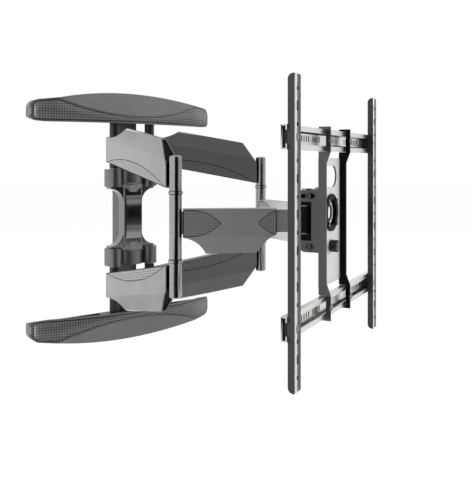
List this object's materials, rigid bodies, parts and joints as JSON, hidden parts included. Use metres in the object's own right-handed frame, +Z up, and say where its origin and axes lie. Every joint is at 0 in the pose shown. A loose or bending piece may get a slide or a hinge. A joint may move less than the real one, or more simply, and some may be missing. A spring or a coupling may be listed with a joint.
{
  "type": "swivel television wall mount",
  "caption": "Full-motion wall mount: bowed wall covers, folding arms hinged in a loop, and a tilting, levelling head with slotted rails that carry a flat television.",
  "frame": {"origin": "centre of the wall bolt pattern, on the wall plane", "axes": "+Y into the wall, +Z up, +X to the right for someone who faces the wall"},
  "size_m": [0.5718, 0.507, 0.474],
  "materials": {
    "wall_cover_plastic": "fine matte moulding",
    "arm_cover_plastic": "satin moulding",
    "wall_steel": "powder coat",
    "arm_steel": "powder coat",
    "casting": "painted casting",
    "polished_column": "dark polish",
    "pin_steel": "turned",
    "ring_steel": "turned",
    "cap_plastic": "satin moulding",
    "head_steel": "semi-gloss powder coat",
    "disc_steel": "semi-gloss powder coat",
    "bolt_steel": "zinc plate",
    "knob_plastic": "moulded"
  },
  "bodies": {
    "wall_bracket": {"top_wall_plate": "wall_steel", "bottom_wall_plate": "wall_steel", "wall_spine": "wall_steel", "upper_clevis_block": "casting", "lower_clevis_block": "casting", "column_cover": "polished_column", "top_wall_cover": "wall_cover_plastic", "bottom_wall_cover": "wall_cover_plastic", "wall_pins": "pin_steel", "wall_pin_washers": "ring_steel", "wall_pin_nuts": "ring_steel", "clevis_screws": "bolt_steel"},
    "left_arm": {"left_upper_arm_core": "arm_steel", "left_upper_arm_front_cover": "arm_cover_plastic", "left_upper_arm_back_cover": "arm_cover_plastic", "left_lower_arm_core": "arm_steel", "left_lower_arm_front_cover": "arm_cover_plastic", "left_lower_arm_back_cover": "arm_cover_plastic", "left_elbow_pin": "pin_steel", "left_elbow_caps": "cap_plastic", "left_elbow_rings": "ring_steel"},
    "left_forearm": {"left_forearm_core": "arm_steel", "left_forearm_front_cover": "arm_cover_plastic", "left_forearm_back_cover": "arm_cover_plastic"},
    "right_arm": {"right_upper_arm_core": "arm_steel", "right_upper_arm_front_cover": "arm_cover_plastic", "right_upper_arm_back_cover": "arm_cover_plastic", "right_lower_arm_core": "arm_steel", "right_lower_arm_front_cover": "arm_cover_plastic", "right_lower_arm_back_cover": "arm_cover_plastic", "right_elbow_pin": "pin_steel", "right_elbow_caps": "cap_plastic", "right_elbow_rings": "ring_steel"},
    "right_forearm": {"right_forearm_core": "arm_steel", "right_forearm_front_cover": "arm_cover_plastic", "right_forearm_back_cover": "arm_cover_plastic"},
    "yoke": {"head_yoke": "casting", "left_head_pin": "pin_steel", "right_head_pin": "pin_steel", "head_pin_washers": "ring_steel", "tilt_pivot_bolts": "bolt_steel", "tilt_lock_bolts": "bolt_steel"},
    "tilt_head": {"tilt_bracket": "head_steel", "level_disc": "disc_steel"},
    "tv_frame": {"centre_bracket": "head_steel", "level_bolts": "bolt_steel", "top_rail": "head_steel", "bottom_rail": "head_steel", "rail_bolts": "bolt_steel"},
    "knob": {"lock_knob": "knob_plastic"},
    "left_tv_side": {"left_tv_arm": "head_steel", "left_arm_clamps": "head_steel", "left_clamp_bolts": "bolt_steel"},
    "right_tv_side": {"right_tv_arm": "head_steel", "right_arm_clamps": "head_steel", "right_clamp_bolts": "bolt_steel"}
  },
  "joints": [
    {"name": "left_arm_swing", "type": "hinge", "parent": "wall_bracket", "child": "left_arm", "pos_m": [-0.0375, -0.047, 0], "axis": [0, 0, -1], "range_deg": [-2.7, 68.7]},
    {"name": "left_elbow", "type": "hinge", "parent": "left_arm", "child": "left_forearm", "pos_m": [-0.04258, -0.27064, 0], "axis": [0, 0, -1], "range_deg": [-91.42, 4.07]},
    {"name": "head_swivel", "type": "hinge", "parent": "left_forearm", "child": "yoke", "pos_m": [0.14018, -0.38333, 0], "axis": [0, 0, -1], "range_deg": [-2.27, 45.52]},
    {"name": "right_arm_swing", "type": "hinge", "parent": "wall_bracket", "child": "right_arm", "pos_m": [0.0375, -0.047, 0], "axis": [0, 0, -1], "range_deg": [-6.4, 0.73]},
    {"name": "right_elbow", "type": "hinge", "parent": "right_arm", "child": "right_forearm", "pos_m": [0.23873, -0.14471, 0], "axis": [0, 0, -1], "range_deg": [-3.48, 76.34]},
    {"name": "tilt", "type": "hinge", "parent": "yoke", "child": "tilt_head", "pos_m": [0.17377, -0.37931, -0.032], "axis": [0.9003, 0.4352, 0], "range_deg": [-4.5, 7.5]},
    {"name": "level", "type": "hinge", "parent": "tilt_head", "child": "tv_frame", "pos_m": [0.18644, -0.4055, 0.0205], "axis": [0.4352, -0.9003, 0], "range_deg": [-3, 3]},
    {"name": "lock_knob_turn", "type": "hinge", "parent": "tv_frame", "child": "knob", "pos_m": [0.18644, -0.4055, -0.035], "axis": [0.4352, -0.9003, 0], "continuous": true},
    {"name": "left_tv_slide", "type": "slide", "parent": "tv_frame", "child": "left_tv_side", "axis": [0.9003, 0.4352, 0], "range_m": [0, 0.1]},
    {"name": "right_tv_slide", "type": "slide", "parent": "tv_frame", "child": "right_tv_side", "axis": [-0.9003, -0.4352, 0], "range_m": [0, 0.1]}
  ],
  "couplings": [
    {"joint": "left_elbow", "follows": "left_arm_swing", "ratio": -1.3234},
    {"joint": "head_swivel", "follows": "left_arm_swing", "ratio": 0.6553},
    {"joint": "right_arm_swing", "follows": "left_arm_swing", "ratio": -0.0859},
    {"joint": "right_elbow", "follows": "left_arm_swing", "ratio": 1.104}
  ]
}
